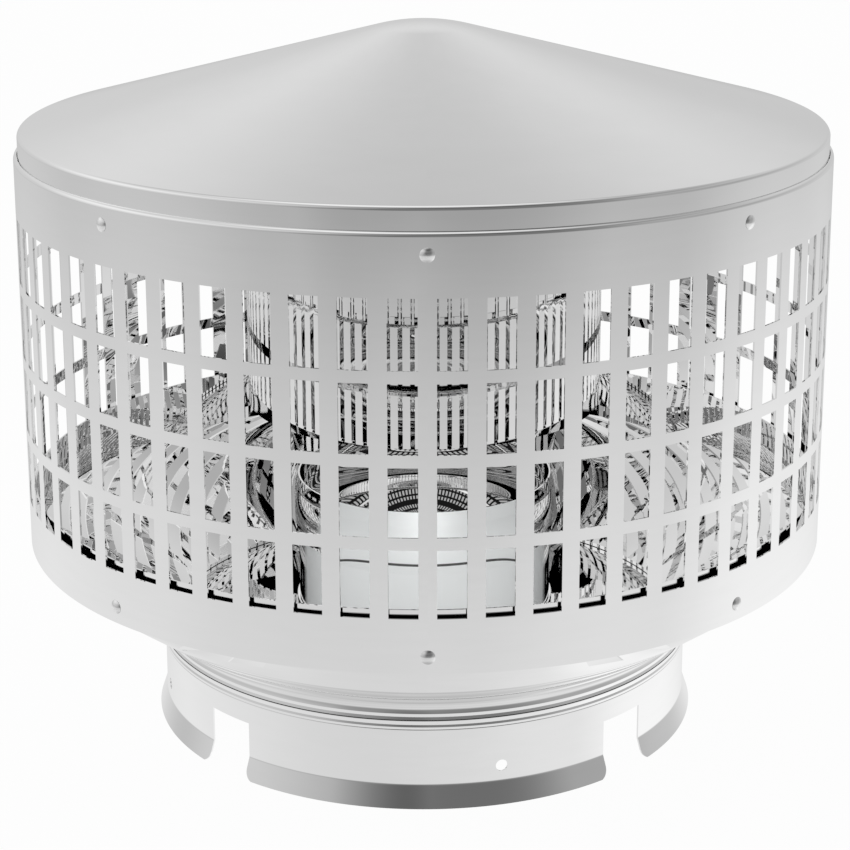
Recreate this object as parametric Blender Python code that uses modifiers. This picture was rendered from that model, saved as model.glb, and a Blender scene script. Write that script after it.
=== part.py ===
"""Chimney cap: a spun roof on a slotted band, an inverted cone pan and a skirt with four tabs.

The cap slips over the outer casing of a double-wall chimney. All sheet parts are stainless steel.
The model stands on its flared lips at height zero, with +Z up and the front towards -Y.
"""

import math

import bmesh
import bpy
from mathutils import Matrix, Vector

MM = 0.001

# Sheet and fits
SHEET = 0.8 * MM
SLIP = 0.3 * MM

# Skirt that slips over the chimney's outer casing
CASING_DIAMETER = 252.0 * MM
CASING_CLEARANCE = 0.8 * MM
SKIRT_HEIGHT = 42.4 * MM
LIP_HEIGHT = 10.4 * MM
LIP_FLARE = 3.5 * MM
LIP_EDGE = 1.2 * MM
TAB_COUNT = 4
NOTCH_WIDTH = 25.0 * MM
NOTCH_DEPTH = 27.0 * MM
TAB_CORNER_RADIUS = 4.0 * MM
SCREW_HOLE_DIAMETER = 5.5 * MM
SCREW_HOLE_HEIGHT = 17.6 * MM
SCREW_HOLE_TURN = math.radians(15.2)

# Flue stub and the plate that closes the space round it
STUB_DIAMETER = 123.0 * MM
STUB_FOOT = 4.0 * MM
STUB_RISE = 72.5 * MM
STUB_BEAD_HEIGHT = 25.0 * MM
STUB_BEAD_DEPTH = 1.8 * MM
STUB_BEAD_DROP = 6.5 * MM
COLLAR_HEIGHT = 10.0 * MM

# Pan: hem over the skirt, ledge, neck, cone and flange
HEM_DROP = 6.5 * MM
HEM_BULGE = 0.7 * MM
NECK_INSET = 3.9 * MM
NECK_BEND = 0.6 * MM
CONE_HEIGHT = 47.2 * MM
PAN_FLANGE_HEIGHT = 28.0 * MM
PAN_FLANGE_PLAY = 2.0 * MM

# Slotted band
BAND_DIAMETER = 380.0 * MM
BAND_LIFT = 0.9 * MM
BAND_HEIGHT = 185.9 * MM
BAND_CURL = 1.2 * MM
SLOT_COLUMNS = 60
SLOT_ROWS = 4
SLOT_WIDTH = 12.3 * MM
SLOT_CROSSBAR = 5.3 * MM
SLOT_MARGIN_BELOW = 24.1 * MM
SLOT_MARGIN_ABOVE = 26.7 * MM

# Roof
ROOF_SLOPE = math.radians(15.05)
ROOF_PLAY = 1.2 * MM
ROOF_STEP = 9.7 * MM
ROOF_SKIRT_HEIGHT = 25.5 * MM
ROOF_RIM_RADIUS = 2.0 * MM
ROOF_NOSE_RADIUS = 92.0 * MM

# Draft cup under the roof
CUP_DIAMETER = 169.0 * MM
CUP_LIFT = 38.4 * MM
CUP_FLANGE = 12.0 * MM

# Blind rivets
RIVET_COUNT = 8
RIVET_SHANK_DIAMETER = 3.2 * MM
RIVET_HEAD_DIAMETER = 6.2 * MM
RIVET_HEAD_HEIGHT = 1.2 * MM
RIVET_TAIL_DIAMETER = 4.6 * MM
RIVET_TAIL_LENGTH = 3.6 * MM
RIVET_DOME_SPAN = 0.65
RIVET_DOME_RISE = 0.7
TOP_RIVET_DROP = 9.1 * MM
BOTTOM_RIVET_RISE = 7.4 * MM

# How far cutters run past the sheet that they cut
CUTTER_REACH = 8.0 * MM
CUTTER_DROP = 2.0 * MM

# Facets
OUTER_STEPS = 48
INNER_STEPS = 36
RIVET_SIDES = 8
HOLE_SIDES = 12
ARC_STEPS = 3
MERGE = 0.00001

# Radii, all to the outer face of the sheet
SKIRT_RADIUS = CASING_DIAMETER / 2 + CASING_CLEARANCE + SHEET
STUB_RADIUS = STUB_DIAMETER / 2
CUP_RADIUS = CUP_DIAMETER / 2
BAND_RADIUS = BAND_DIAMETER / 2
BAND_BORE_RADIUS = BAND_RADIUS - SHEET
ROOF_RADIUS = BAND_BORE_RADIUS - ROOF_PLAY
PAN_RADIUS = BAND_BORE_RADIUS - PAN_FLANGE_PLAY
HEM_RADIUS = SKIRT_RADIUS + SLIP + SHEET
NECK_RADIUS = SKIRT_RADIUS - NECK_INSET
FLOOR_RADIUS = SKIRT_RADIUS - SHEET - SLIP

# Slots share out the height that the margins and crossbars leave
SLOT_FIELD = BAND_HEIGHT - SLOT_MARGIN_BELOW - SLOT_MARGIN_ABOVE
SLOT_HEIGHT = (SLOT_FIELD - (SLOT_ROWS - 1) * SLOT_CROSSBAR) / SLOT_ROWS

# Heights above the ground, worked up from the lips
FLOOR_TOP = SKIRT_HEIGHT
LEDGE_TOP = SKIRT_HEIGHT + SLIP + SHEET
CONE_TOP = LEDGE_TOP + CONE_HEIGHT
PAN_FLANGE_TOP = CONE_TOP + PAN_FLANGE_HEIGHT
BAND_BOTTOM = CONE_TOP + BAND_LIFT
BAND_TOP = BAND_BOTTOM + BAND_HEIGHT
STUB_TOP = FLOOR_TOP + STUB_RISE
CUP_MOUTH = STUB_TOP + CUP_LIFT
ROOF_RIM = BAND_TOP + ROOF_STEP
TOP_RIVET_LEVEL = BAND_TOP - TOP_RIVET_DROP
BOTTOM_RIVET_LEVEL = BAND_BOTTOM + BOTTOM_RIVET_RISE


def clear_scene():
    """Remove whatever the open file holds."""
    for old in list(bpy.data.objects):
        bpy.data.objects.remove(old, do_unlink=True)


def make_collection(name):
    """A collection linked to the scene."""
    group = bpy.data.collections.new(name)
    bpy.context.scene.collection.children.link(group)
    return group


def make_material(name, color, roughness):
    """A bare metal finish."""
    material = bpy.data.materials.new(name)
    material.use_nodes = True
    shader = material.node_tree.nodes["Principled BSDF"]
    shader.inputs["Base Color"].default_value = (*color, 1.0)
    shader.inputs["Metallic"].default_value = 1.0
    shader.inputs["Roughness"].default_value = roughness
    return material


def add_object(name, mesh, group, material=None):
    """Put a mesh into a collection as a named object."""
    piece = bpy.data.objects.new(name, mesh)
    group.objects.link(piece)
    if material:
        mesh.materials.append(material)
    return piece


def around(radius, angle, height):
    """A point at an angle turned from the front, -Y, towards +X."""
    return (radius * math.sin(angle), -radius * math.cos(angle), height)


def radial_place(angle, height, reach):
    """Matrix that lays a Z-up shape outwards along a radius, at an angle from the front."""
    outward = Matrix.Rotation(math.pi / 2, 4, "X")
    place = Matrix.Translation(around(reach, angle, height))
    return place @ Matrix.Rotation(angle, 4, "Z") @ outward


def arc(center, radius, start, end, steps=ARC_STEPS):
    """Points on an arc in the profile plane, as (radius, height) pairs."""
    points = []
    for step in range(steps + 1):
        angle = start + (end - start) * step / steps
        points.append((center[0] + radius * math.cos(angle), center[1] + radius * math.sin(angle)))
    return points


def profile_mesh(name, points):
    """A line of vertices in the XZ plane, for a Screw modifier to turn."""
    mesh = bpy.data.meshes.new(name)
    vertices = [(radius, 0.0, height) for radius, height in points]
    edges = [(index, index + 1) for index in range(len(points) - 1)]
    mesh.from_pydata(vertices, edges, [])
    return mesh


def turn(piece, steps):
    """Spin a profile once round Z."""
    screw = piece.modifiers.new("turn", "SCREW")
    screw.steps = steps
    screw.render_steps = steps
    screw.use_merge_vertices = True
    screw.merge_threshold = MERGE
    screw.use_smooth_shade = True


def thicken(piece):
    """Give an open surface the sheet's thickness, on its inner side."""
    shell = piece.modifiers.new("sheet", "SOLIDIFY")
    shell.thickness = SHEET
    shell.offset = -1.0
    shell.use_even_offset = True


def spin_sheet(name, points, group, material, steps=OUTER_STEPS):
    """A sheet part turned from the profile of its outer face, drawn from top to bottom."""
    piece = add_object(name, profile_mesh(name, points), group, material)
    turn(piece, steps)
    thicken(piece)
    return piece


def cut(piece, cutter):
    """Take a cutter out of a piece."""
    boolean = piece.modifiers.new("cut " + cutter.name, "BOOLEAN")
    boolean.operation = "DIFFERENCE"
    boolean.solver = "EXACT"
    boolean.object = cutter


def make_cutter(name, mesh, group):
    """An object that only cuts."""
    cutter = add_object(name, mesh, group)
    cutter.hide_render = True
    cutter.display_type = "WIRE"
    return cutter


def roof_height(radius):
    """Height of the roof's outer face on its straight flank."""
    return ROOF_RIM + (ROOF_RADIUS - radius) * math.tan(ROOF_SLOPE)


def make_roof(group, material):
    """Spun cone: rounded nose, straight flank, rounded rim and a short skirt inside the band."""
    tangent = ROOF_NOSE_RADIUS * math.sin(ROOF_SLOPE)
    nose_center = roof_height(tangent) - ROOF_NOSE_RADIUS * math.cos(ROOF_SLOPE)
    nose = arc((0.0, nose_center), ROOF_NOSE_RADIUS, math.pi / 2, math.pi / 2 - ROOF_SLOPE, 2)
    nose[0] = (0.0, nose[0][1])
    setback = ROOF_RIM_RADIUS * math.tan((math.pi / 2 - ROOF_SLOPE) / 2)
    rim_center = (ROOF_RADIUS - ROOF_RIM_RADIUS, ROOF_RIM - setback)
    rim = arc(rim_center, ROOF_RIM_RADIUS, math.pi / 2 - ROOF_SLOPE, 0.0, 2)
    skirt_end = (ROOF_RADIUS, ROOF_RIM - ROOF_SKIRT_HEIGHT)
    return spin_sheet("roof", nose + rim + [skirt_end], group, material)


def make_draft_cup(group, material):
    """Open cylinder over the flue stub, with a conical flange against the roof's underside."""
    drop = SLIP + 2 * SHEET
    flange_end = CUP_RADIUS + CUP_FLANGE
    level = -drop / math.cos(ROOF_SLOPE)
    points = [
        (flange_end, roof_height(flange_end) + level),
        (CUP_RADIUS, roof_height(CUP_RADIUS) + level),
        (CUP_RADIUS, CUP_MOUTH),
    ]
    return spin_sheet("draft_cup", points, group, material, INNER_STEPS)


def make_pan(group, material):
    """Flange inside the band, inverted cone, neck, ledge over the skirt and turned-down hem."""
    points = [
        (PAN_RADIUS, PAN_FLANGE_TOP),
        (PAN_RADIUS, CONE_TOP),
        (NECK_RADIUS, LEDGE_TOP + NECK_BEND),
        (NECK_RADIUS, LEDGE_TOP),
        (HEM_RADIUS, LEDGE_TOP),
        (HEM_RADIUS + HEM_BULGE, LEDGE_TOP - HEM_BULGE),
        (HEM_RADIUS + HEM_BULGE, LEDGE_TOP - HEM_DROP / 2),
        (HEM_RADIUS, LEDGE_TOP - HEM_DROP),
    ]
    return spin_sheet("pan", points, group, material)


def make_floor_ring(group, material):
    """Closure plate inside the skirt's top, under the pan's ledge, with a collar round the stub."""
    collar = STUB_RADIUS + SLIP + SHEET
    points = [
        (collar, FLOOR_TOP + COLLAR_HEIGHT),
        (collar, FLOOR_TOP),
        (FLOOR_RADIUS, FLOOR_TOP),
    ]
    return spin_sheet("floor_ring", points, group, material)


def make_flue_stub(group, material):
    """Inner gas tube with one swaged bead below its mouth."""
    bead_top = STUB_TOP - STUB_BEAD_DROP
    bead = []
    for step in range(ARC_STEPS + 2):
        share = step / (ARC_STEPS + 1)
        swell = STUB_BEAD_DEPTH * math.sin(math.pi * share)
        bead.append((STUB_RADIUS + swell, bead_top - STUB_BEAD_HEIGHT * share))
    points = [(STUB_RADIUS, STUB_TOP)] + bead + [(STUB_RADIUS, STUB_FOOT)]
    return spin_sheet("flue_stub", points, group, material, INNER_STEPS)


def make_skirt(group, material, notches, screw_holes):
    """Collar that slips over the casing, cut into tabs with flared lips."""
    points = [
        (SKIRT_RADIUS, SKIRT_HEIGHT),
        (SKIRT_RADIUS, LIP_HEIGHT),
        (SKIRT_RADIUS + LIP_FLARE, LIP_EDGE),
        (SKIRT_RADIUS + LIP_FLARE, 0.0),
    ]
    skirt = spin_sheet("skirt", points, group, material)
    cut(skirt, notches)
    cut(skirt, screw_holes)
    return skirt


def slotted_grid():
    """Flat grid whose columns alternate bar and slot, wrapped round Z with the slots open."""
    levels = [0.0]
    for row in range(SLOT_ROWS):
        foot = SLOT_MARGIN_BELOW + row * (SLOT_HEIGHT + SLOT_CROSSBAR)
        levels += [foot, foot + SLOT_HEIGHT]
    levels += [BAND_HEIGHT - BAND_CURL, BAND_HEIGHT]
    pitch = math.tau / SLOT_COLUMNS
    bar = pitch - SLOT_WIDTH / BAND_RADIUS
    columns = 2 * SLOT_COLUMNS
    rows = len(levels) - 1

    form = bmesh.new()
    bmesh.ops.create_grid(form, x_segments=columns, y_segments=rows, size=1.0)
    form.faces.ensure_lookup_table()
    slots = []
    for face in form.faces:
        center = face.calc_center_median()
        column = int((center.x + 1.0) / 2.0 * columns)
        row = int((center.y + 1.0) / 2.0 * rows)
        if column % 2 == 1 and row % 2 == 1 and row < 2 * SLOT_ROWS:
            slots.append(face)
    for vertex in form.verts:
        column = round((vertex.co.x + 1.0) / 2.0 * columns)
        row = round((vertex.co.y + 1.0) / 2.0 * rows)
        angle = (column // 2) * pitch - bar / 2 + (column % 2) * bar
        radius = BAND_RADIUS - (BAND_CURL if row == rows else 0.0)
        vertex.co = around(radius, angle, BAND_BOTTOM + levels[row])
    bmesh.ops.delete(form, geom=slots, context="FACES")
    bmesh.ops.remove_doubles(form, verts=form.verts, dist=MERGE)
    for face in form.faces:
        face.smooth = True
    mesh = bpy.data.meshes.new("slotted_band")
    form.to_mesh(mesh)
    form.free()
    return mesh


def make_band(group, material, rivet_holes):
    """Rolled band with the slots, its top edge curled in towards the roof skirt."""
    band = add_object("slotted_band", slotted_grid(), group, material)
    thicken(band)
    cut(band, rivet_holes)
    return band


def rod(form, radius, length, angle, height, reach, sides):
    """Add a closed radial rod centred at a reach from the axis."""
    ends = bmesh.ops.create_cone(
        form, cap_ends=True, segments=sides, radius1=radius, radius2=radius, depth=length
    )
    bmesh.ops.transform(form, matrix=radial_place(angle, height, reach), verts=ends["verts"])


def hole_cutter(name, group, diameter, places, reach, length, sides):
    """One cutter object made of radial rods, one for each (angle, height) place."""
    form = bmesh.new()
    for angle, height in places:
        rod(form, diameter / 2, length, angle, height, reach, sides)
    mesh = bpy.data.meshes.new(name)
    form.to_mesh(mesh)
    form.free()
    return make_cutter(name, mesh, group)


def notch_outline():
    """Outline of one notch in width and height, with the tabs' rounded corners at its foot."""
    half = NOTCH_WIDTH / 2
    corner = TAB_CORNER_RADIUS
    right = arc((half + corner, corner), corner, math.pi, math.pi * 1.5)
    left = [(-x, y) for x, y in reversed(right)]
    top = [(-half, NOTCH_DEPTH), (half, NOTCH_DEPTH)]
    foot = [(half + corner, -CUTTER_DROP), (-half - corner, -CUTTER_DROP)]
    return top + right + foot + left


def notch_cutter(group):
    """Cutter with one radial block for each notch, midway between the tabs."""
    inner = SKIRT_RADIUS - CUTTER_REACH
    outer = SKIRT_RADIUS + LIP_FLARE + CUTTER_REACH
    form = bmesh.new()
    for index in range(TAB_COUNT):
        angle = math.tau * (index + 0.5) / TAB_COUNT
        place = radial_place(angle, 0.0, 0.0)
        ring = []
        for across, height in notch_outline():
            ring.append(form.verts.new(place @ Vector((across, height, inner))))
        face = form.faces.new(ring)
        pushed = bmesh.ops.extrude_face_region(form, geom=[face])
        moved = [item for item in pushed["geom"] if isinstance(item, bmesh.types.BMVert)]
        step = place.to_3x3() @ Vector((0.0, 0.0, outer - inner))
        bmesh.ops.translate(form, vec=step, verts=moved)
    bmesh.ops.recalc_face_normals(form, faces=form.faces)
    mesh = bpy.data.meshes.new("notches")
    form.to_mesh(mesh)
    form.free()
    return make_cutter("notches", mesh, group)


def rivet_profile(sheets):
    """Profile of a set blind rivet: low domed head, shank through the sheets, bulbed tail."""
    head = RIVET_HEAD_DIAMETER / 2
    shank = RIVET_SHANK_DIAMETER / 2
    tail = RIVET_TAIL_DIAMETER / 2
    grip = SLIP + sheets + SLIP
    return [
        (0.0, RIVET_HEAD_HEIGHT),
        (head * RIVET_DOME_SPAN, RIVET_HEAD_HEIGHT * RIVET_DOME_RISE),
        (head, 0.0),
        (shank, 0.0),
        (shank, -grip),
        (tail, -grip),
        (shank, -grip - RIVET_TAIL_LENGTH),
        (0.0, -grip - RIVET_TAIL_LENGTH),
    ]


def make_rivets(name, level, sheets, group, material):
    """A ring of rivets, one object each, heads outwards."""
    mesh = profile_mesh(name, rivet_profile(sheets))
    mesh.materials.append(material)
    for index in range(RIVET_COUNT):
        angle = math.tau * index / RIVET_COUNT
        rivet = bpy.data.objects.new(f"{name}_{index + 1}", mesh)
        group.objects.link(rivet)
        rivet.matrix_world = radial_place(angle, level, BAND_RADIUS + SLIP)
        turn(rivet, RIVET_SIDES)


def main():
    clear_scene()
    parts = make_collection("chimney_cap")
    cutters = make_collection("cutters")
    satin = make_material("satin_stainless", (0.66, 0.66, 0.67), 0.22)
    bright = make_material("bright_stainless", (0.78, 0.78, 0.79), 0.08)
    rivet_steel = make_material("rivet_steel", (0.6, 0.6, 0.61), 0.3)

    hole = RIVET_SHANK_DIAMETER + 2 * SLIP
    rivet_angles = [math.tau * index / RIVET_COUNT for index in range(RIVET_COUNT)]
    top_places = [(angle, TOP_RIVET_LEVEL) for angle in rivet_angles]
    bottom_places = [(angle, BOTTOM_RIVET_LEVEL) for angle in rivet_angles]
    rivet_places = top_places + bottom_places
    rivet_holes = hole_cutter(
        "rivet_holes", cutters, hole, rivet_places, BAND_RADIUS, 2 * CUTTER_REACH, RIVET_SIDES
    )
    screw_places = []
    for index in range(TAB_COUNT):
        screw_places.append((SCREW_HOLE_TURN + math.tau * index / TAB_COUNT, SCREW_HOLE_HEIGHT))
    screw_holes = hole_cutter(
        "screw_holes", cutters, SCREW_HOLE_DIAMETER, screw_places, SKIRT_RADIUS, CUTTER_REACH, HOLE_SIDES
    )
    notches = notch_cutter(cutters)

    roof = make_roof(parts, satin)
    cut(roof, rivet_holes)
    make_band(parts, satin, rivet_holes)
    pan = make_pan(parts, satin)
    cut(pan, rivet_holes)
    make_skirt(parts, satin, notches, screw_holes)
    make_floor_ring(parts, bright)
    make_flue_stub(parts, bright)
    make_draft_cup(parts, bright)
    make_rivets("rivet_top", TOP_RIVET_LEVEL, 2 * SHEET + ROOF_PLAY, parts, rivet_steel)
    make_rivets("rivet_bottom", BOTTOM_RIVET_LEVEL, 2 * SHEET + PAN_FLANGE_PLAY, parts, rivet_steel)


main()
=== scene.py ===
"""Looks of the chimney cap: finer sheet metal, stainless finishes, studio light and camera."""

import math

import bmesh
import bpy
from mathutils import Matrix, Vector


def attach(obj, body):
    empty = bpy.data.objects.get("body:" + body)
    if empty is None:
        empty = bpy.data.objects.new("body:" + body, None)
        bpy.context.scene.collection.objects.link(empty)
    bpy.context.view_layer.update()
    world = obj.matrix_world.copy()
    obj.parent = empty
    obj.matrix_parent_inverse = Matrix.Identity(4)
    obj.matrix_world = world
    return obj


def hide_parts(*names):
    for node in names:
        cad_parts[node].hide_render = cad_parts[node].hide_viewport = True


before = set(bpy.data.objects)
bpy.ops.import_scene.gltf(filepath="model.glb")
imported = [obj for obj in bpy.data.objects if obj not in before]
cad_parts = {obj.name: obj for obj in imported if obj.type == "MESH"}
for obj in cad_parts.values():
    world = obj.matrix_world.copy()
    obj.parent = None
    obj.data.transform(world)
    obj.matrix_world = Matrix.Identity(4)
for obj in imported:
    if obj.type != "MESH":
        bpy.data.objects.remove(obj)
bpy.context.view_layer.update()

MM = 0.001

# Sheet and facets
SHEET = 0.8 * MM
SLIP = 0.3 * MM
STEPS = 360
ARC_STEPS = 12
CORNER_STEPS = 10
BEND_STEPS = 6
BEAD_STEPS = 24
RIVET_STEPS = 48
ROD_SIDES = 32
BAR_FACETS = 2
SLOT_FACETS = 4
ON_AXIS = 1e-7
MITRE_LIMIT = 0.3
SHARP_ANGLE = math.radians(32)
NORMAL_WEIGHT = 100

# Skirt and its tabs
SKIRT_RADIUS = 127.6 * MM
SKIRT_TOP = 42.4 * MM
LIP_HEIGHT = 10.4 * MM
LIP_FLARE = 3.5 * MM
LIP_BEND = 3.0 * MM
TAB_COUNT = 4
NOTCH_WIDTH = 25.0 * MM
NOTCH_DEPTH = 27.0 * MM
NOTCH_OVERRUN = 2.0 * MM
NOTCH_BLOCK_INSET = 8.0 * MM
NOTCH_BLOCK_DEPTH = 20.0 * MM
TAB_CORNER = 5.5 * MM
SCREW_HOLE_DIAMETER = 5.5 * MM
SCREW_HOLE_HEIGHT = 17.6 * MM
SCREW_HOLE_TURN = math.radians(15.2)
SCREW_DRILL_LENGTH = 8.0 * MM

# Pan; a ridge is given as (share down the fold, share of its swell)
NECK_RADIUS = 123.7 * MM
NECK_HEIGHT = 0.6 * MM
LEDGE_TOP = 43.5 * MM
HEM_WALL = 127.9 * MM
HEM_VALLEY = 128.6 * MM
HEM_LEVELS = (46.8 * MM, 43.7 * MM, 39.9 * MM, 37.7 * MM, 36.9 * MM)
HEM_SWELL = 0.125
HEM_RIDGE = ((0.45, 0.95), (0.5, 1.0), (0.55, 0.95))
HEM_STEP = 0.1 * MM
HEM_CREVICE = 42.15 * MM
HEM_CREVICE_WIDTH = 0.4 * MM
HEM_CREVICE_DEPTH = 0.3 * MM
HEM_CREVICE_REACH = 0.6
CONE_TOP = 90.7 * MM
PAN_RADIUS = 187.2 * MM
PAN_FLANGE_TOP = 118.7 * MM

# Closure plate and flue stub
PLATE_RADIUS = 126.5 * MM
PLATE_TOP = 42.4 * MM
COLLAR_HEIGHT = 10.0 * MM
STUB_RADIUS = 61.5 * MM
STUB_TOP = 114.9 * MM
STUB_FOOT = 4.0 * MM
STUB_BEAD_DROP = 6.5 * MM
STUB_BEAD_HEIGHT = 25.0 * MM
STUB_BEAD_DEPTH = 1.8 * MM
# Dark line painted round the stub below its bead, as painted shade; it dips towards the sides
STUB_SHADE_LINE = 89.2 * MM
STUB_SHADE_LINE_WIDTH = 1.3 * MM
STUB_SHADE_LINE_DIP = 42.0 * MM
STUB_SHADE_LINE_CURVE = 6.0
STUB_SHADE_LINE_REACH = 0.8
# Front of the stub where a pale reflection is painted, for the camera alone
SHEEN_HALF_TURN = math.radians(54)
SHEEN_FADE = math.radians(6)
SHEEN_STEP_LEVEL = 86.0 * MM
SHEEN_STEP = 17.0 * MM

# Slotted band; its top edge curls in, in degrees
BAND_RADIUS = 190.0 * MM
BAND_BOTTOM = 91.6 * MM
BAND_TOP = 277.5 * MM
BAND_ROUND = 1.95 * MM
BAND_CURL = 80.0
SLOT_COLUMNS = 60
SLOT_ROWS = 4
SLOT_WIDTH = 12.3 * MM
SLOT_HEIGHT = 29.8 * MM
SLOT_CROSSBAR = 5.3 * MM
SLOT_BOTTOM = 115.7 * MM

# Roof and draft cup
ROOF_SLOPE = math.radians(15.05)
ROOF_RADIUS = 188.0 * MM
ROOF_RIM = 287.2 * MM
ROOF_SKIRT_HEIGHT = 25.5 * MM
ROOF_RIM_ROUND = 2.0 * MM
ROOF_NOSE_RADIUS = 92.0 * MM
CUP_RADIUS = 84.5 * MM
CUP_MOUTH = 153.3 * MM
CUP_FLANGE = 12.0 * MM

# Finish of the steels: (tone, low and high roughness), then what they share
SATIN = (0.95, 0.0, 0.02)
BRIGHT = (0.98, 0.0, 0.01)
RIVET_PLAIN = (0.9, 0.12, 0.2)
GRAIN_STRETCH = 0.02
GRAIN_SCALE = 260.0
GRAIN_DETAIL = 3.0
MARK_SCALE = 14.0
MARK_DETAIL = 2.0
MASK_LOW = 0.12
MASK_HIGH = 0.38
TONE_SPREAD = 0.02
DEPTH_LIMIT = 9

# Matt layers on the steel, for the camera: painted pale reflection on the stub, painted shade in the
# crevice
OVERLAY_SHEEN = 0.2
# Colour of the painted pale reflection on the stub
SHEEN_COLOR = (0.84, 0.86, 0.86)
SHEEN_DARKER = 0.95
SHEEN_ROUGHNESS = 0.55
SHEEN_MARK_SCALE = 18.0
# Colour of the painted shade line on the stub
SHADE_LINE_COLOR = (0.09, 0.09, 0.09)
# Colour and roughness of the painted shade in the hem's crevice
CREVICE_SHADE_COLOR = (0.12, 0.12, 0.12)
CREVICE_SHADE_ROUGHNESS = 0.9

# Blind rivets
RIVET_COUNT = 8
RIVET_HOLE = 3.8 * MM
RIVET_DRILL_LENGTH = 16.0 * MM
RIVET_DRILL_SIDES = 16
RIVET_HEAD = 6.2 * MM
RIVET_HEAD_HEIGHT = 1.2 * MM
RIVET_SEAT = 0.03 * MM
RIVET_SHANK = 3.2 * MM
RIVET_TAIL = 4.6 * MM
RIVET_TAIL_LENGTH = 3.6 * MM
TOP_RIVET_LEVEL = 268.4 * MM
TOP_RIVET_GRIP = 3.4 * MM
BOTTOM_RIVET_LEVEL = 99.0 * MM
BOTTOM_RIVET_GRIP = 4.2 * MM

# Studio: ramp of (elevation in degrees, brightness)
RAMP = (
    (-90, 0.654), (-60, 0.776), (-45, 0.898), (-36, 0.802), (-25, 0.80),
    (-17, 0.642), (-10, 0.426), (0, 0.401), (10, 0.365), (20, 0.384),
    (30, 0.397), (38, 0.302), (46, 0.18), (60, 0.22), (90, 0.60),
)

# Studio: (azimuth from the front towards +X, elevation, half width, strength) in degrees
LOBES = (
    (17.8, 19.5, 47.7, -0.21),
    (-18.0, 1.8, 22.9, -0.11),
    (-78.4, 32.0, 58.0, 0.24),
    (125.0, -28.0, 53.0, 0.17),
    (205.0, 53.0, 96.0, 0.34),
    (-21.4, -64.4, 65.9, -0.16),
    (180.0, -50.0, 50.0, -0.11),
)

# Studio: backdrop and floor
BACKDROP_WHITE = (0.98, 0.98, 0.98)
FLOOR_SIZE = 12.0
FLOOR_DROP = 0.2 * MM
FLOOR_COLOR = (0.9, 0.9, 0.9, 1.0)
FLOOR_ROUGHNESS = 0.9
FLOOR_GLOW = 0.97
LIGHT_BOUNCES = 12

# Glowing card below the flue stub, painted with dark bars and rings for the shade and reflected slots
# inside the stub
CARD_BARS = 44
CARD_RING = 29.5 * MM
CARD_RING_WIDTH = 10.0 * MM
CARD_FINE_RINGS = 480.0
CARD_LIGHT = (0.42, 0.42, 0.42)
CARD_DARK = (0.01, 0.01, 0.01)
CARD_BAR_EDGE = 0.15
CARD_FINE_EDGE = 0.6
CARD_SIDES = 64

# Fill lamps inside the cap: (azimuth from the front, radius, height, power)
FILLS = (
    (-38.0, 150.0 * MM, 85.0 * MM, 0.14),
    (0.0, 150.0 * MM, 85.0 * MM, 0.1),
    (38.0, 150.0 * MM, 85.0 * MM, 0.14),
    (0.0, 80.0 * MM, 112.0 * MM, 0.006),
)
FILL_SIZE = 5.0 * MM

# Camera: sensor and lens in millimetres, place in metres, turns in radians
CAMERA_SENSOR = 36.0
CAMERA_LENS = 96.636
CAMERA_SHIFT = -0.1406
CAMERA_REACH = (0.01, 50.0)
CAMERA_PLACE = (0.0, -1.05518, 0.47867)
CAMERA_TILT = 0.2604
CAMERA_ORBIT = -0.0070
CAMERA_PAN = -0.0005
CAMERA_ROLL = -0.0021


def around(radius, angle, height):
    """A point at an angle turned from the front, -Y, towards +X."""
    return Vector((radius * math.sin(angle), -radius * math.cos(angle), height))


def arc(center, radius, start, end, steps=ARC_STEPS):
    """Points on an arc in the profile plane, as (radius, height) pairs; angles in degrees."""
    points = []
    for step in range(steps + 1):
        angle = math.radians(start + (end - start) * step / steps)
        points.append((center[0] + radius * math.cos(angle), center[1] + radius * math.sin(angle)))
    return points


def eased(before, corner, after, radius):
    """Points of a bend that rounds a corner of a profile."""
    first = (Vector(before) - Vector(corner)).normalized()
    second = (Vector(after) - Vector(corner)).normalized()
    half_turn = (math.pi - first.angle(second)) / 2
    reach = radius * math.tan(half_turn)
    start, middle, end = Vector(corner) + first * reach, Vector(corner), Vector(corner) + second * reach
    points = []
    for step in range(BEND_STEPS + 1):
        share = step / BEND_STEPS
        point = start * (1 - share) ** 2 + middle * 2 * share * (1 - share) + end * share**2
        points.append((point.x, point.y))
    return points


def inner_face(points, thickness):
    """The profile of the sheet's inner face, set in from the outer face along its normal."""
    count = len(points)
    inner = []
    for index in range(count):
        normals = []
        for a, b in ((index - 1, index), (index, index + 1)):
            if a < 0 or b >= count:
                continue
            along = Vector((points[b][0] - points[a][0], points[b][1] - points[a][1])).normalized()
            normals.append(Vector((along.y, -along.x)))
        mean = sum(normals, Vector((0.0, 0.0))).normalized()
        reach = thickness / max(mean.dot(normals[0]), MITRE_LIMIT)
        inner.append((points[index][0] + mean.x * reach, points[index][1] + mean.y * reach))
    return inner


def lathe(name, outline, steps):
    """A closed mesh turned from a closed outline; points on the axis become single vertices."""
    form = bmesh.new()
    rings = []
    for radius, height in outline:
        if radius < ON_AXIS:
            rings.append([form.verts.new((0.0, 0.0, height))] * steps)
        else:
            ring = []
            for step in range(steps):
                ring.append(form.verts.new(around(radius, math.tau * step / steps, height)))
            rings.append(ring)
    count = len(rings)
    for index in range(count):
        upper, lower = rings[index], rings[(index + 1) % count]
        if upper[0] is upper[1] and lower[0] is lower[1]:
            continue
        for step in range(steps):
            after = (step + 1) % steps
            corners = [upper[step], upper[after], lower[after], lower[step]]
            unique = list(dict.fromkeys(corners))
            if len(unique) > 2:
                form.faces.new(unique)
    bmesh.ops.recalc_face_normals(form, faces=form.faces)
    mesh = bpy.data.meshes.new(name)
    form.to_mesh(mesh)
    form.free()
    return mesh


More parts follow.
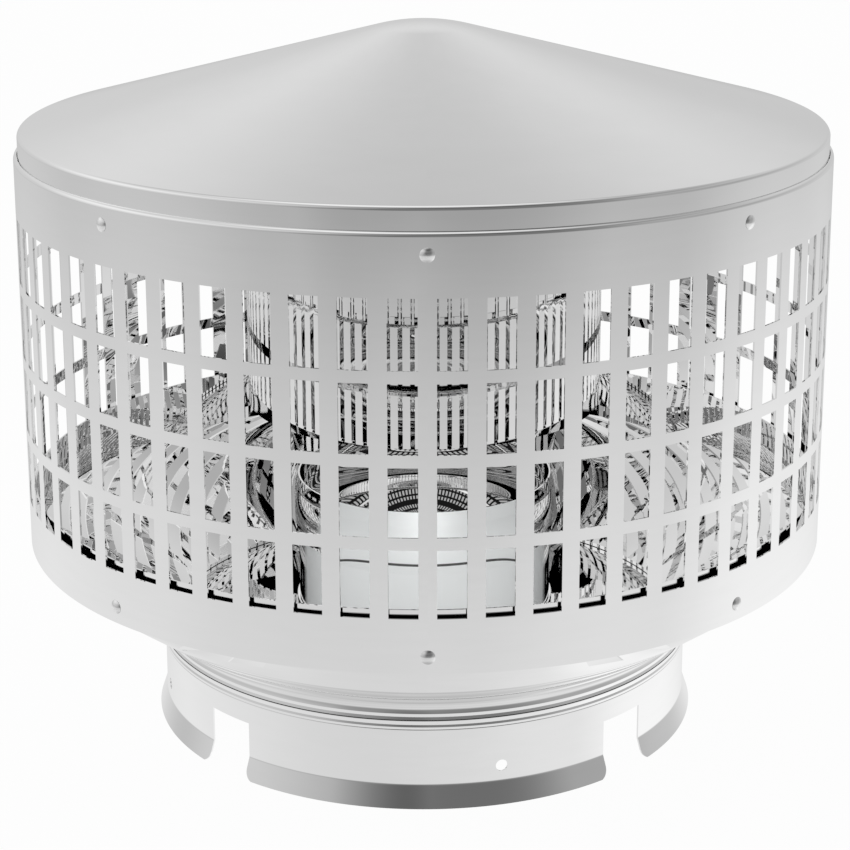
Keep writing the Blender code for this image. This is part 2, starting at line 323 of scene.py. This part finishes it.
def smooth(mesh):
    """Smooth shading with crisp sheet edges."""
    mesh.polygons.foreach_set("use_smooth", [True] * len(mesh.polygons))
    mesh.set_sharp_from_angle(angle=SHARP_ANGLE)
    mesh.update()


def even_normals(piece):
    """Let the large faces set the shading, so that a long wall stays true up to its bends."""
    weighted = piece.modifiers.new("normals", "WEIGHTED_NORMAL")
    weighted.keep_sharp = True
    weighted.weight = NORMAL_WEIGHT
    graph = bpy.context.evaluated_depsgraph_get()
    graph.update()
    before = piece.data
    piece.data = bpy.data.meshes.new_from_object(piece.evaluated_get(graph))
    piece.modifiers.remove(weighted)
    bpy.data.meshes.remove(before)


def place(piece, node):
    """Make a piece stand for a node of the part."""
    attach(piece, "root")
    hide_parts(node)


def show(name, mesh, material, node):
    """Put a finished mesh into the scene in place of a node."""
    mesh.materials.clear()
    mesh.materials.append(material)
    piece = bpy.data.objects.new(name, mesh)
    bpy.context.scene.collection.objects.link(piece)
    smooth(mesh)
    even_normals(piece)
    place(piece, node)
    return piece


def spun(name, points, steps=STEPS, thickness=SHEET):
    """A sheet mesh turned from its outer face's profile, drawn from top to bottom."""
    inner = inner_face(points, thickness)
    if points[0][0] < ON_AXIS:
        inner[0] = (0.0, inner[0][1])
    return lathe(name, points + inner[::-1], steps)


def cut(mesh, cutters):
    """Take closed cutter meshes out of a mesh and return what is left."""
    piece = bpy.data.objects.new("cutting", mesh)
    bpy.context.scene.collection.objects.link(piece)
    tools = []
    for cutter in cutters:
        tool = bpy.data.objects.new("tool", cutter)
        bpy.context.scene.collection.objects.link(tool)
        boolean = piece.modifiers.new("cut", "BOOLEAN")
        boolean.operation = "DIFFERENCE"
        boolean.solver = "EXACT"
        boolean.object = tool
        tools.append(tool)
    graph = bpy.context.evaluated_depsgraph_get()
    graph.update()
    left = bpy.data.meshes.new_from_object(piece.evaluated_get(graph))
    for old in [piece, *tools]:
        bpy.data.objects.remove(old, do_unlink=True)
    return left


def roof_height(radius):
    """Height of the roof's outer face on its straight flank."""
    return ROOF_RIM + (ROOF_RADIUS - radius) * math.tan(ROOF_SLOPE)


def roof_profile():
    """Rounded nose, straight flank, rounded rim and a short skirt inside the band."""
    slope = math.degrees(ROOF_SLOPE)
    tangent = ROOF_NOSE_RADIUS * math.sin(ROOF_SLOPE)
    nose_center = roof_height(tangent) - ROOF_NOSE_RADIUS * math.cos(ROOF_SLOPE)
    nose = arc((0.0, nose_center), ROOF_NOSE_RADIUS, 90.0, 90.0 - slope)
    nose[0] = (0.0, nose[0][1])
    setback = ROOF_RIM_ROUND * math.tan((math.pi / 2 - ROOF_SLOPE) / 2)
    rim_center = (ROOF_RADIUS - ROOF_RIM_ROUND, ROOF_RIM - setback)
    rim = arc(rim_center, ROOF_RIM_ROUND, 90.0 - slope, 0.0)
    return nose + rim + [(ROOF_RADIUS, ROOF_RIM - ROOF_SKIRT_HEIGHT)]


def cup_profile():
    """Flange under the roof, then the straight wall down to the mouth."""
    level = -(SLIP + 2 * SHEET) / math.cos(ROOF_SLOPE)
    end = CUP_RADIUS + CUP_FLANGE
    return [
        (end, roof_height(end) + level),
        (CUP_RADIUS, roof_height(CUP_RADIUS) + level),
        (CUP_RADIUS, CUP_MOUTH),
    ]


def hem_profile():
    """Shallow folds of the hem, one under the other from the foot of the cone, with one crevice."""
    points = []
    for top, foot in zip(HEM_LEVELS, HEM_LEVELS[1:]):
        height = top - foot
        swell = HEM_SWELL * height
        ridge = [(HEM_VALLEY + out * swell, top - down * height) for down, out in HEM_RIDGE]
        if foot < HEM_CREVICE < top:
            start = HEM_CREVICE + HEM_CREVICE_WIDTH / 2
            end = HEM_CREVICE - HEM_CREVICE_WIDTH / 2
            bottom = HEM_VALLEY - HEM_CREVICE_DEPTH
            upper = (HEM_VALLEY + swell * (top - start) / (height / 2), start)
            lower = (HEM_VALLEY + swell * (top - end) / (height / 2), end)
            ridge[:1] = [upper, (bottom, start), (bottom, end), lower]
        points += [(HEM_VALLEY, top)] + ridge + [(HEM_VALLEY + HEM_STEP, foot)]
    return points


def pan_outline():
    """Closed outline: flange, inverted cone and hem, then back up the inner face past the ledge."""
    rim = [(PAN_RADIUS, PAN_FLANGE_TOP), (PAN_RADIUS, CONE_TOP)]
    neck = LEDGE_TOP + NECK_HEIGHT
    slope = (CONE_TOP - neck) / (PAN_RADIUS - NECK_RADIUS)
    cone_foot = (HEM_VALLEY, neck + slope * (HEM_VALLEY - NECK_RADIUS))
    plain = rim + [(NECK_RADIUS, neck), (NECK_RADIUS, LEDGE_TOP)]
    plain += [(HEM_WALL + SHEET, LEDGE_TOP), (HEM_WALL + SHEET, HEM_LEVELS[-1])]
    return rim + [cone_foot] + hem_profile() + inner_face(plain, SHEET)[::-1]


def floor_profile():
    """Collar round the stub and the flat ring under the ledge."""
    collar = STUB_RADIUS + SLIP + SHEET
    return [(collar, PLATE_TOP + COLLAR_HEIGHT), (collar, PLATE_TOP), (PLATE_RADIUS, PLATE_TOP)]


def stub_profile():
    """Gas tube with one swaged bead."""
    top = STUB_TOP - STUB_BEAD_DROP
    points = [(STUB_RADIUS, STUB_TOP)]
    for step in range(BEAD_STEPS + 1):
        share = step / BEAD_STEPS
        swell = STUB_BEAD_DEPTH * math.sin(math.pi * share)
        points.append((STUB_RADIUS + swell, top - STUB_BEAD_HEIGHT * share))
    points.append((STUB_RADIUS, STUB_FOOT))
    return points


def skirt_profile():
    """Straight collar that flares out into the lips."""
    top = (SKIRT_RADIUS, SKIRT_TOP)
    bend = (SKIRT_RADIUS, LIP_HEIGHT)
    end = (SKIRT_RADIUS + LIP_FLARE, SHEET * LIP_FLARE / math.hypot(LIP_FLARE, LIP_HEIGHT))
    return [top] + eased(top, bend, end, LIP_BEND) + [end]


def radial_place(angle, height, reach):
    """Matrix that lays a Z-up shape outwards along a radius."""
    outward = Matrix.Rotation(math.pi / 2, 4, "X")
    place_there = Matrix.Translation(around(reach, angle, height))
    return place_there @ Matrix.Rotation(angle, 4, "Z") @ outward


def rods(name, diameter, places, reach, length, sides=ROD_SIDES):
    """One mesh of radial rods, for holes at (angle, height) places."""
    form = bmesh.new()
    for angle, height in places:
        ends = bmesh.ops.create_cone(
            form, cap_ends=True, segments=sides, radius1=diameter / 2, radius2=diameter / 2, depth=length
        )
        bmesh.ops.transform(form, matrix=radial_place(angle, height, reach), verts=ends["verts"])
    mesh = bpy.data.meshes.new(name)
    form.to_mesh(mesh)
    form.free()
    return mesh


def notch_blocks():
    """Blocks that cut the four notches, with the tabs' rounded corners at their foot."""
    half = NOTCH_WIDTH / 2
    right = arc((half + TAB_CORNER, TAB_CORNER), TAB_CORNER, 180.0, 270.0, CORNER_STEPS)
    left = [(-x, y) for x, y in reversed(right)]
    outline = [(-half, NOTCH_DEPTH), (half, NOTCH_DEPTH)] + right
    outline += [(half + TAB_CORNER, -NOTCH_OVERRUN), (-half - TAB_CORNER, -NOTCH_OVERRUN)] + left
    start = SKIRT_RADIUS - NOTCH_BLOCK_INSET
    form = bmesh.new()
    for index in range(TAB_COUNT):
        angle = math.tau * (index + 0.5) / TAB_COUNT
        turned = radial_place(angle, 0.0, 0.0)
        ring = [form.verts.new(turned @ Vector((x, y, start))) for x, y in outline]
        face = form.faces.new(ring)
        pushed = bmesh.ops.extrude_face_region(form, geom=[face])
        moved = [item for item in pushed["geom"] if isinstance(item, bmesh.types.BMVert)]
        push = turned.to_3x3() @ Vector((0.0, 0.0, NOTCH_BLOCK_DEPTH))
        bmesh.ops.translate(form, vec=push, verts=moved)
    bmesh.ops.recalc_face_normals(form, faces=form.faces)
    mesh = bpy.data.meshes.new("notches")
    form.to_mesh(mesh)
    form.free()
    return mesh


def band_mesh():
    """Rolled band: bars and slots wrapped round the axis, top edge rolled in."""
    levels = [(BAND_RADIUS, BAND_BOTTOM)]
    for row in range(SLOT_ROWS):
        foot = SLOT_BOTTOM + row * (SLOT_HEIGHT + SLOT_CROSSBAR)
        levels += [(BAND_RADIUS, foot), (BAND_RADIUS, foot + SLOT_HEIGHT)]
    curl_center = (BAND_RADIUS - BAND_ROUND, BAND_TOP - BAND_ROUND)
    levels += arc(curl_center, BAND_ROUND, 0.0, BAND_CURL, CORNER_STEPS)
    top_down = levels[::-1]
    inner = inner_face(top_down, SHEET)[::-1]
    pitch = math.tau / SLOT_COLUMNS
    bar = pitch - SLOT_WIDTH / BAND_RADIUS
    angles = []
    for column in range(SLOT_COLUMNS):
        start = column * pitch - bar / 2
        for facet in range(BAR_FACETS):
            angles.append((start + bar * facet / BAR_FACETS, False))
        for facet in range(SLOT_FACETS):
            angles.append((start + bar + (pitch - bar) * facet / SLOT_FACETS, True))
    form = bmesh.new()
    skins = []
    for skin in (levels, inner):
        grid = []
        for radius, height in skin:
            grid.append([form.verts.new(around(radius, angle, height)) for angle, _ in angles])
        skins.append(grid)
    columns = len(angles)
    rows = len(levels)

    def open_at(column, row):
        in_slot = angles[column % columns][1]
        return in_slot and row % 2 == 1 and 0 < row < 2 * SLOT_ROWS

    for row in range(rows - 1):
        for column in range(columns):
            after = (column + 1) % columns
            if open_at(column, row):
                continue
            for grid, flip in ((skins[0], False), (skins[1], True)):
                quad = [grid[row][column], grid[row][after], grid[row + 1][after], grid[row + 1][column]]
                form.faces.new(quad[::-1] if flip else quad)
            for other, low, high in ((column - 1, column, column), (column + 1, after, after)):
                if open_at(other % columns, row):
                    side = [skins[0][row][low], skins[1][row][low]]
                    side += [skins[1][row + 1][high], skins[0][row + 1][high]]
                    form.faces.new(side)
            for near, level in ((row - 1, row), (row + 1, row + 1)):
                outside = near < 0 or near >= rows - 1
                if outside or open_at(column, near):
                    edge = [skins[0][level][column], skins[0][level][after]]
                    edge += [skins[1][level][after], skins[1][level][column]]
                    form.faces.new(edge)
    bmesh.ops.recalc_face_normals(form, faces=form.faces)
    mesh = bpy.data.meshes.new("slotted_band")
    form.to_mesh(mesh)
    form.free()
    return mesh


def rivet_mesh(name, level, grip, angle):
    """A set blind rivet: low domed head with its mandrel, shank and bulbed tail."""
    head, shank, tail = RIVET_HEAD / 2, RIVET_SHANK / 2, RIVET_TAIL / 2
    dome_radius = (head**2 + RIVET_HEAD_HEIGHT**2) / (2 * RIVET_HEAD_HEIGHT)
    spread = math.degrees(math.asin(head / dome_radius))
    dome = arc((0.0, RIVET_HEAD_HEIGHT - dome_radius), dome_radius, 90.0, 90.0 - spread)
    dome[0] = (0.0, RIVET_HEAD_HEIGHT)
    outline = dome + [(shank, 0.0), (shank, -grip), (tail, -grip), (shank, -grip - RIVET_TAIL_LENGTH)]
    outline.append((0.0, -grip - RIVET_TAIL_LENGTH))
    mesh = lathe(name, outline, RIVET_STEPS)
    mesh.transform(radial_place(angle, level, BAND_RADIUS + RIVET_SEAT))
    return mesh


def reckon(tree, operation, *values):
    """A Math node fed with sockets or plain numbers; gives its output."""
    node = tree.nodes.new("ShaderNodeMath")
    node.operation = operation
    for index, value in enumerate(values):
        if isinstance(value, (int, float)):
            node.inputs[index].default_value = value
        else:
            tree.links.new(value, node.inputs[index])
    return node.outputs[0]


def blend(tree, factor, first, second):
    """A colour mix of two plain colours or sockets; gives its output."""
    node = tree.nodes.new("ShaderNodeMix")
    node.data_type = "RGBA"
    tree.links.new(factor, node.inputs["Factor"])
    for name, value in (("A", first), ("B", second)):
        if isinstance(value, tuple):
            node.inputs[name].default_value = value + (1.0,)
        else:
            tree.links.new(value, node.inputs[name])
    return node.outputs["Result"]


def cover(tree, share, shader):
    """Mix a second shader over the one that reaches the material's output."""
    end = tree.nodes["Material Output"].inputs["Surface"]
    mix = tree.nodes.new("ShaderNodeMixShader")
    tree.links.new(share, mix.inputs[0])
    tree.links.new(end.links[0].from_socket, mix.inputs[1])
    tree.links.new(shader, mix.inputs[2])
    tree.links.new(mix.outputs[0], end)


def finish_group():
    """Sheet finish for every steel: rolling grain round the axis and soft handling marks."""
    group = bpy.data.node_groups.new("sheet_finish", "ShaderNodeTree")
    for name in ("Grain Scale", "Mark Scale", "Low Roughness", "High Roughness"):
        group.interface.new_socket(name, in_out="INPUT", socket_type="NodeSocketFloat")
    group.interface.new_socket("Tone", in_out="OUTPUT", socket_type="NodeSocketFloat")
    group.interface.new_socket("Roughness", in_out="OUTPUT", socket_type="NodeSocketFloat")
    nodes, links = group.nodes, group.links
    given, result = nodes.new("NodeGroupInput"), nodes.new("NodeGroupOutput")
    where, split = nodes.new("ShaderNodeTexCoord"), nodes.new("ShaderNodeSeparateXYZ")
    links.new(where.outputs["Object"], split.inputs[0])
    turn = reckon(group, "ARCTAN2", split.outputs["X"], split.outputs["Y"])
    rolled = nodes.new("ShaderNodeCombineXYZ")
    links.new(reckon(group, "MULTIPLY", turn, GRAIN_STRETCH), rolled.inputs["X"])
    links.new(split.outputs["Z"], rolled.inputs["Z"])
    grain, marks = nodes.new("ShaderNodeTexNoise"), nodes.new("ShaderNodeTexNoise")
    grain.inputs["Detail"].default_value = GRAIN_DETAIL
    marks.inputs["Detail"].default_value = MARK_DETAIL
    links.new(rolled.outputs[0], grain.inputs["Vector"])
    links.new(given.outputs["Grain Scale"], grain.inputs["Scale"])
    links.new(where.outputs["Object"], marks.inputs["Vector"])
    links.new(given.outputs["Mark Scale"], marks.inputs["Scale"])
    tone = nodes.new("ShaderNodeMapRange")
    tone.inputs["From Min"].default_value = MASK_LOW
    tone.inputs["From Max"].default_value = MASK_HIGH
    links.new(reckon(group, "MULTIPLY", grain.outputs[0], marks.outputs[0]), tone.inputs["Value"])
    links.new(tone.outputs[0], result.inputs["Tone"])
    rough = nodes.new("ShaderNodeMapRange")
    links.new(tone.outputs[0], rough.inputs["Value"])
    links.new(given.outputs["Low Roughness"], rough.inputs["To Min"])
    links.new(given.outputs["High Roughness"], rough.inputs["To Max"])
    links.new(rough.outputs[0], result.inputs["Roughness"])
    return group


def steel(name, color, low, high, depth_limit=0):
    """Stainless sheet; light that has bounced too often between the walls is lost in the dark."""
    material = bpy.data.materials.new(name)
    material.use_nodes = True
    tree = material.node_tree
    shader = tree.nodes["Principled BSDF"]
    shader.inputs["Metallic"].default_value = 1.0
    finish = tree.nodes.new("ShaderNodeGroup")
    finish.node_tree = bpy.data.node_groups["sheet_finish"]
    finish.inputs["Grain Scale"].default_value = GRAIN_SCALE
    finish.inputs["Mark Scale"].default_value = MARK_SCALE
    finish.inputs["Low Roughness"].default_value = low
    finish.inputs["High Roughness"].default_value = high
    tint = blend(tree, finish.outputs["Tone"], (color - TONE_SPREAD,) * 3, (color,) * 3)
    tree.links.new(tint, shader.inputs["Base Color"])
    tree.links.new(finish.outputs["Roughness"], shader.inputs["Roughness"])
    if depth_limit:
        path = tree.nodes.new("ShaderNodeLightPath")
        black = tree.nodes.new("ShaderNodeBsdfDiffuse")
        black.inputs["Color"].default_value = (0.0, 0.0, 0.0, 1.0)
        deep = reckon(tree, "GREATER_THAN", path.outputs["Ray Depth"], depth_limit - 0.5)
        cover(tree, deep, black.outputs[0])
    return material


def overlay(material, roughness, color, share):
    """Lay a matt shader over a finish, where a share of 1 covers it; it carries the painted pale
    reflection and the painted shade.
    """
    tree = material.node_tree
    matt_layer = tree.nodes.new("ShaderNodeBsdfPrincipled")
    matt_layer.inputs["Roughness"].default_value = roughness
    matt_layer.inputs["Specular IOR Level"].default_value = OVERLAY_SHEEN
    if isinstance(color, tuple):
        matt_layer.inputs["Base Color"].default_value = color + (1.0,)
    else:
        tree.links.new(color, matt_layer.inputs["Base Color"])
    cover(tree, share, matt_layer.outputs[0])


def crevice_shade(name, bare):
    """Painted dark shade in a crevice, for the camera; mirrors still meet the steel."""
    material = bare.copy()
    material.name = name
    path = material.node_tree.nodes.new("ShaderNodeLightPath")
    overlay(material, CREVICE_SHADE_ROUGHNESS, CREVICE_SHADE_COLOR, path.outputs["Is Camera Ray"])
    return material


def painted_sheen_and_shade(name, bare):
    """Pale colour painted on the front of bright steel for the camera, as a painted reflection, with a
    painted dark shade line; mirrors still meet the steel.
    """
    material = bare.copy()
    material.name = name
    tree = material.node_tree
    nodes, links = tree.nodes, tree.links
    where, split = nodes.new("ShaderNodeTexCoord"), nodes.new("ShaderNodeSeparateXYZ")
    links.new(where.outputs["Object"], split.inputs[0])
    across, out, up = split.outputs["X"], split.outputs["Y"], split.outputs["Z"]
    # Mask of the painted dark shade line round the stub
    side = reckon(tree, "DIVIDE", reckon(tree, "ABSOLUTE", across), STUB_RADIUS)
    dip = reckon(tree, "MULTIPLY", reckon(tree, "POWER", side, STUB_SHADE_LINE_CURVE), STUB_SHADE_LINE_DIP)
    line = reckon(tree, "COMPARE", reckon(tree, "ADD", up, dip), STUB_SHADE_LINE, STUB_SHADE_LINE_WIDTH / 2)
    line = reckon(tree, "MULTIPLY", line, reckon(tree, "LESS_THAN", side, STUB_SHADE_LINE_REACH))
    marks = nodes.new("ShaderNodeTexNoise")
    marks.inputs["Scale"].default_value = SHEEN_MARK_SCALE
    links.new(where.outputs["Object"], marks.inputs["Vector"])
    darker = tuple(SHEEN_DARKER * value for value in SHEEN_COLOR)
    tint = blend(tree, marks.outputs[0], darker, SHEEN_COLOR)
    front = nodes.new("ShaderNodeMapRange")
    front.inputs["From Min"].default_value = -STUB_RADIUS * math.cos(SHEEN_HALF_TURN)
    front.inputs["From Max"].default_value = -STUB_RADIUS * math.cos(SHEEN_HALF_TURN - SHEEN_FADE)
    wider = reckon(tree, "MULTIPLY", reckon(tree, "LESS_THAN", up, SHEEN_STEP_LEVEL), SHEEN_STEP)
    links.new(reckon(tree, "SUBTRACT", out, wider), front.inputs["Value"])
    # The pale reflection is painted for camera rays only, on the front of the stub
    path = nodes.new("ShaderNodeLightPath")
    share = reckon(tree, "MULTIPLY", path.outputs["Is Camera Ray"], front.outputs[0])
    overlay(material, SHEEN_ROUGHNESS, blend(tree, line, tint, SHADE_LINE_COLOR), share)
    return material


def paint_outside_faces(piece, material):
    """Give the outward faces of a turned piece a second material, which on the stub is the painted pale
    reflection.
    """
    piece.data.materials.append(material)
    for face in piece.data.polygons:
        middle, normal = face.center, face.normal
        if middle.x * normal.x + middle.y * normal.y > STUB_RADIUS / 2:
            face.material_index = 1


def darken_crevice(piece, material):
    """Paint dark shade on the walls of the crevice in the hem."""
    piece.data.materials.append(material)
    for face in piece.data.polygons:
        if abs(face.center.z - HEM_CREVICE) < HEM_CREVICE_REACH * HEM_CREVICE_WIDTH:
            face.material_index = 1


def build_cap():
    """Every piece of the cap, each in place of its node."""
    finish_group()
    satin = steel("satin_stainless", *SATIN, DEPTH_LIMIT)
    bright = steel("bright_stainless", *BRIGHT, DEPTH_LIMIT)
    plain = steel("rivet_steel", *RIVET_PLAIN)

    rivet_angles = [math.tau * index / RIVET_COUNT for index in range(RIVET_COUNT)]
    holes = [(angle, TOP_RIVET_LEVEL) for angle in rivet_angles]
    low_holes = [(angle, BOTTOM_RIVET_LEVEL) for angle in rivet_angles]

    def drilled(mesh, places):
        drill = rods("holes", RIVET_HOLE, places, BAND_RADIUS, RIVET_DRILL_LENGTH, RIVET_DRILL_SIDES)
        return cut(mesh, [drill])

    show("roof_skin", drilled(spun("roof", roof_profile()), holes), satin, "roof")
    band = drilled(band_mesh(), holes + low_holes)
    show("band_skin", band, satin, "slotted_band")
    pan = drilled(lathe("pan", pan_outline(), STEPS), low_holes)
    pan = show("pan_skin", pan, satin, "pan")
    # The crevice in the hem gets painted dark shade, for the camera
    darken_crevice(pan, crevice_shade("painted_crevice_shade", satin))
    screw_places = []
    for index in range(TAB_COUNT):
        screw_places.append((SCREW_HOLE_TURN + math.tau * index / TAB_COUNT, SCREW_HOLE_HEIGHT))
    screws = rods("screws", SCREW_HOLE_DIAMETER, screw_places, SKIRT_RADIUS, SCREW_DRILL_LENGTH)
    skirt = cut(spun("skirt", skirt_profile()), [notch_blocks(), screws])
    show("skirt_skin", skirt, satin, "skirt")
    show("floor_skin", spun("floor", floor_profile()), bright, "floor_ring")
    stub = show("stub_skin", spun("stub", stub_profile()), bright, "flue_stub")
    # The stub's front gets a painted pale reflection and a painted dark shade line
    paint_outside_faces(stub, painted_sheen_and_shade("painted_pale_sheen", bright))
    show("cup_skin", spun("cup", cup_profile()), bright, "draft_cup")
    for ring, level, grip in (
        ("rivet_top", TOP_RIVET_LEVEL, TOP_RIVET_GRIP),
        ("rivet_bottom", BOTTOM_RIVET_LEVEL, BOTTOM_RIVET_GRIP),
    ):
        for index, angle in enumerate(rivet_angles):
            node = f"{ring}_{index + 1}"
            show(node + "_skin", rivet_mesh(node, level, grip, angle), plain, node)


def direction(azimuth, elevation):
    """Unit vector towards a place in the studio."""
    a, e = math.radians(azimuth), math.radians(elevation)
    return (math.sin(a) * math.cos(e), -math.cos(a) * math.cos(e), math.sin(e))


def make_studio():
    """Plain soft light from all round, darker towards the front, on white for the camera."""
    world = bpy.data.worlds.new("studio")
    bpy.context.scene.world = world
    world.use_nodes = True
    tree = world.node_tree
    nodes, links = tree.nodes, tree.links
    background = nodes["Background"]
    where = nodes.new("ShaderNodeTexCoord")
    split = nodes.new("ShaderNodeSeparateXYZ")
    links.new(where.outputs["Generated"], split.inputs[0])
    ramp = nodes.new("ShaderNodeValToRGB")
    rise = nodes.new("ShaderNodeMapRange")
    rise.inputs["From Min"].default_value = -1.0
    links.new(split.outputs["Z"], rise.inputs["Value"])
    links.new(rise.outputs[0], ramp.inputs[0])
    ramp.color_ramp.interpolation = "CARDINAL"
    elements = ramp.color_ramp.elements
    for index, (elevation, value) in enumerate(RAMP):
        at = (math.sin(math.radians(elevation)) + 1.0) / 2.0
        stop = elements[index] if index < 2 else elements.new(at)
        stop.position = at
        stop.color = (value, value, value, 1.0)
    last = ramp.outputs[0]
    for azimuth, elevation, width, strength in LOBES:
        dot = nodes.new("ShaderNodeVectorMath")
        dot.operation = "DOT_PRODUCT"
        dot.inputs[1].default_value = direction(azimuth, elevation)
        links.new(where.outputs["Generated"], dot.inputs[0])
        lobe = nodes.new("ShaderNodeMapRange")
        lobe.interpolation_type = "SMOOTHSTEP"
        lobe.inputs["From Min"].default_value = math.cos(math.radians(width))
        lobe.inputs["To Max"].default_value = strength
        links.new(dot.outputs["Value"], lobe.inputs["Value"])
        last = reckon(tree, "ADD", last, lobe.outputs[0])
    path = nodes.new("ShaderNodeLightPath")
    light = blend(tree, path.outputs["Is Camera Ray"], last, BACKDROP_WHITE)
    links.new(light, background.inputs["Color"])


def make_floor():
    """Pale floor that takes the cap's shadow and stays white to the camera."""
    bpy.ops.mesh.primitive_plane_add(size=FLOOR_SIZE, location=(0.0, 0.0, -FLOOR_DROP))
    floor = bpy.context.active_object
    floor.name = "floor"
    material = bpy.data.materials.new("studio_floor")
    material.use_nodes = True
    tree = material.node_tree
    shader = tree.nodes["Principled BSDF"]
    shader.inputs["Base Color"].default_value = FLOOR_COLOR
    shader.inputs["Roughness"].default_value = FLOOR_ROUGHNESS
    glow = tree.nodes.new("ShaderNodeEmission")
    glow.inputs["Color"].default_value = (1.0, 1.0, 1.0, 1.0)
    path = tree.nodes.new("ShaderNodeLightPath")
    share = reckon(tree, "MULTIPLY", path.outputs["Is Camera Ray"], FLOOR_GLOW)
    cover(tree, share, glow.outputs[0])
    floor.data.materials.append(material)
    floor.visible_glossy = False


def make_flue_shade_card():
    """Glowing card below the flue stub, painted with dark bars and rings that stand in for the shade and
    the reflected slots inside it; the camera doesn't see it.
    """
    bpy.ops.mesh.primitive_circle_add(
        vertices=CARD_SIDES, radius=STUB_RADIUS, fill_type="NGON", location=(0.0, 0.0, STUB_FOOT / 2)
    )
    card = bpy.context.active_object
    card.name = "flue_shade_card"
    material = bpy.data.materials.new("flue_shade_card")
    material.use_nodes = True
    tree = material.node_tree
    where, split = tree.nodes.new("ShaderNodeTexCoord"), tree.nodes.new("ShaderNodeSeparateXYZ")
    tree.links.new(where.outputs["Object"], split.inputs[0])
    reach = tree.nodes.new("ShaderNodeVectorMath")
    reach.operation = "LENGTH"
    tree.links.new(where.outputs["Object"], reach.inputs[0])
    far = reach.outputs["Value"]
    turn = reckon(tree, "ARCTAN2", split.outputs["X"], split.outputs["Y"])
    wave = reckon(tree, "SINE", reckon(tree, "MULTIPLY", turn, CARD_BARS))
    bars = reckon(tree, "GREATER_THAN", wave, CARD_BAR_EDGE)
    fine = reckon(tree, "SINE", reckon(tree, "MULTIPLY", far, CARD_FINE_RINGS))
    rings = reckon(tree, "GREATER_THAN", fine, CARD_FINE_EDGE)
    ring = reckon(tree, "COMPARE", far, CARD_RING, CARD_RING_WIDTH / 2)
    # Dark bars and rings painted as shade and reflected slots; the card glows though it is no lamp
    dark = reckon(tree, "MAXIMUM", reckon(tree, "MAXIMUM", bars, rings), ring)
    glow = tree.nodes.new("ShaderNodeEmission")
    tree.links.new(blend(tree, dark, CARD_LIGHT, CARD_DARK), glow.inputs["Color"])
    tree.links.new(glow.outputs[0], tree.nodes["Material Output"].inputs["Surface"])
    card.data.materials.append(material)
    card.visible_camera = False
    card.visible_diffuse = False


def make_fill():
    """Small fill lamps between band and stub; only the painted pale reflection on the stub shows them.
    """
    for index, (azimuth, radius, height, power) in enumerate(FILLS):
        light = bpy.data.lights.new(f"fill_{index + 1}", "POINT")
        light.energy = power
        light.shadow_soft_size = FILL_SIZE
        lamp = bpy.data.objects.new(light.name, light)
        lamp.location = around(radius, math.radians(azimuth), height)
        lamp.visible_camera = False
        lamp.visible_glossy = False
        bpy.context.scene.collection.objects.link(lamp)


def make_camera():
    """Camera at the photograph's place."""
    data = bpy.data.cameras.new("camera")
    camera = bpy.data.objects.new("camera", data)
    bpy.context.scene.collection.objects.link(camera)
    data.sensor_width = CAMERA_SENSOR
    data.lens = CAMERA_LENS
    data.shift_y = CAMERA_SHIFT
    data.clip_start, data.clip_end = CAMERA_REACH
    orbit = Matrix.Rotation(CAMERA_ORBIT, 4, "Z")
    stand = Matrix.Translation(CAMERA_PLACE)
    pan = Matrix.Rotation(CAMERA_PAN, 4, "Z")
    tilt = Matrix.Rotation(math.pi / 2 - CAMERA_TILT, 4, "X")
    roll = Matrix.Rotation(CAMERA_ROLL, 4, "Z")
    camera.matrix_world = orbit @ stand @ (pan @ tilt) @ roll
    bpy.context.scene.camera = camera


make_camera()
build_cap()
make_studio()
make_floor()
make_flue_shade_card()
make_fill()
bpy.context.scene.view_settings.view_transform = "Standard"
bpy.context.scene.cycles.max_bounces = LIGHT_BOUNCES
bpy.context.scene.cycles.glossy_bounces = LIGHT_BOUNCES
